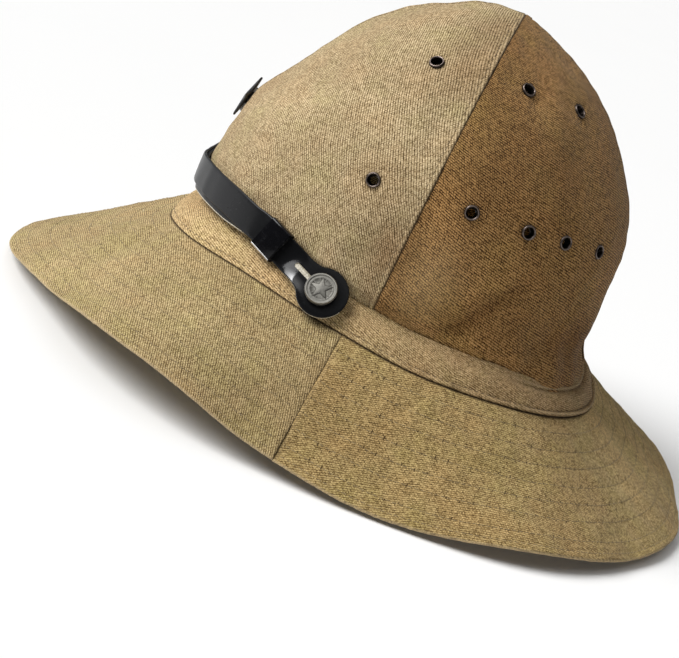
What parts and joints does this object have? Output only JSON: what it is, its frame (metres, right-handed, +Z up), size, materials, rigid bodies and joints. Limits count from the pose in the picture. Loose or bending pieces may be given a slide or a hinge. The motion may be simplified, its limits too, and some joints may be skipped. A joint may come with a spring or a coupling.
{
  "type": "brimmed field cap",
  "caption": "Cotton twill field sun hat with a panelled pointed crown, sewn band, wide drooping quilted brim, doubled leather chin strap and star badge.",
  "frame": {"origin": "on the surface the hat rests on, under the middle of its outline", "axes": "+Z up, -Y towards the front of the hat, +X towards the wearer's left, metres"},
  "size_m": [0.2708, 0.3195, 0.1759],
  "materials": {
    "crown_twill": "tan cotton twill, light and dark flecks, matt",
    "brim_twill": "tan cotton twill quilted in rings, matt",
    "strap_leather": "black satin leather",
    "keeper_lacquer": "glossy black",
    "button_metal": "antique silver",
    "eyelet_metal": "dark antique bronze",
    "badge_metal": "dark enamel"
  },
  "bodies": {
    "root": {"crown_front_left": "crown_twill", "crown_front_right": "crown_twill", "crown_back_left": "crown_twill", "crown_back_right": "crown_twill", "band": "crown_twill", "brim_front": "brim_twill", "brim_back": "brim_twill", "strap_left": "strap_leather", "strap_right": "strap_leather", "keeper_left": "keeper_lacquer", "keeper_right": "keeper_lacquer", "button_left": "button_metal", "button_right": "button_metal", "star_badge": "badge_metal", "eyelet_left_1": "eyelet_metal", "eyelet_left_2": "eyelet_metal", "eyelet_left_3": "eyelet_metal", "eyelet_left_4": "eyelet_metal", "eyelet_left_5": "eyelet_metal", "eyelet_left_6": "eyelet_metal", "eyelet_left_7": "eyelet_metal", "eyelet_left_8": "eyelet_metal", "eyelet_right_1": "eyelet_metal", "eyelet_right_2": "eyelet_metal", "eyelet_right_3": "eyelet_metal", "eyelet_right_4": "eyelet_metal", "eyelet_right_5": "eyelet_metal", "eyelet_right_6": "eyelet_metal", "eyelet_right_7": "eyelet_metal", "eyelet_right_8": "eyelet_metal"}
  },
  "joints": []
}
